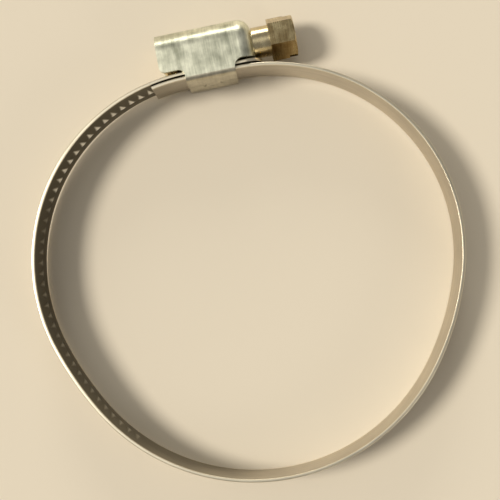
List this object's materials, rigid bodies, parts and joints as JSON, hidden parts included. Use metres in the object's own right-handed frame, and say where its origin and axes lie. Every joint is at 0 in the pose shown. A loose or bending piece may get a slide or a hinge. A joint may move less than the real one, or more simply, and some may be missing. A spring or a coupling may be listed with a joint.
{
  "type": "worm-drive hose clamp",
  "caption": "Round steel hose clamp lying flat: stamped band, folded housing and a worm screw with a hexagon head that draws the band tight.",
  "frame": {"origin": "centre of the hose seat circle, at mid-width of the band", "axes": "+Z along the hose axis, +Y from the hose to the housing, +X along the screw towards its head"},
  "size_m": [0.0776, 0.0832, 0.0108],
  "materials": {
    "band": "bright stainless strip, rolled edges, darker inside",
    "housing": "pale satin steel sheet, brushed across the screw",
    "screw": "yellow zinc plate on steel"
  },
  "bodies": {
    "clamp": {"band": "band", "housing": "housing"},
    "screw": {"screw": "screw"}
  },
  "joints": [
    {"name": "screw_turn", "type": "hinge", "parent": "clamp", "child": "screw", "pos_m": [0.0085, 0.04172, 0], "axis": [1, 0, 0], "continuous": true, "deforming": ["band"]}
  ]
}
